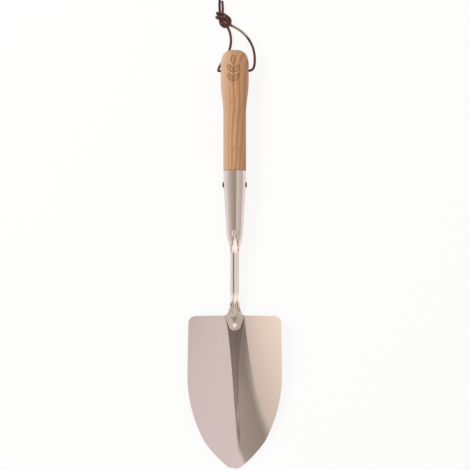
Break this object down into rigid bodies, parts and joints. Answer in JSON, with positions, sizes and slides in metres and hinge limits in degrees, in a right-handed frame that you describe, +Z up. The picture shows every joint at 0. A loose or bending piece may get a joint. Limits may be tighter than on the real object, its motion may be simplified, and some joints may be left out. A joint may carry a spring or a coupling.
{
  "type": "hand transplanter",
  "caption": "Long-necked hand transplanter: broad pointed stainless blade riveted to a rolled socket and neck, ash handle, leather hanging thong on a swinging loop",
  "frame": {"origin": "the middle of the tool's footprint on the floor it lies on, at floor height, measured without the thong; the tool lies on its back with the hollow of the blade up", "axes": "+Y runs up the handle from the blade's tip to the thong, +X is to the right when the hollow of the blade faces the viewer and the handle is up, +Z is up, out of the hollow of the blade"},
  "size_m": [0.094, 0.4725, 0.028],
  "materials": {
    "stainless_steel": "polished with fine brushing along the tool",
    "dark_rivet_steel": "browned, satin",
    "ash_wood": "oiled open grain",
    "brown_leather": "waxed round lace"
  },
  "bodies": {
    "tool": {"blade": "stainless_steel", "neck_socket": "stainless_steel", "blade_rivet": "stainless_steel", "cross_rivet": "dark_rivet_steel", "handle": "ash_wood"},
    "thong": {"thong_left_strand": "brown_leather", "thong_right_strand": "brown_leather", "thong_left_tail": "brown_leather", "thong_right_tail": "brown_leather", "thong_knot": "brown_leather"}
  },
  "joints": [
    {"name": "thong_swing", "type": "hinge", "parent": "tool", "child": "thong", "pos_m": [0, 0.1881, 0.014], "axis": [1, 0, 0], "range_deg": [-75, 0]}
  ]
}
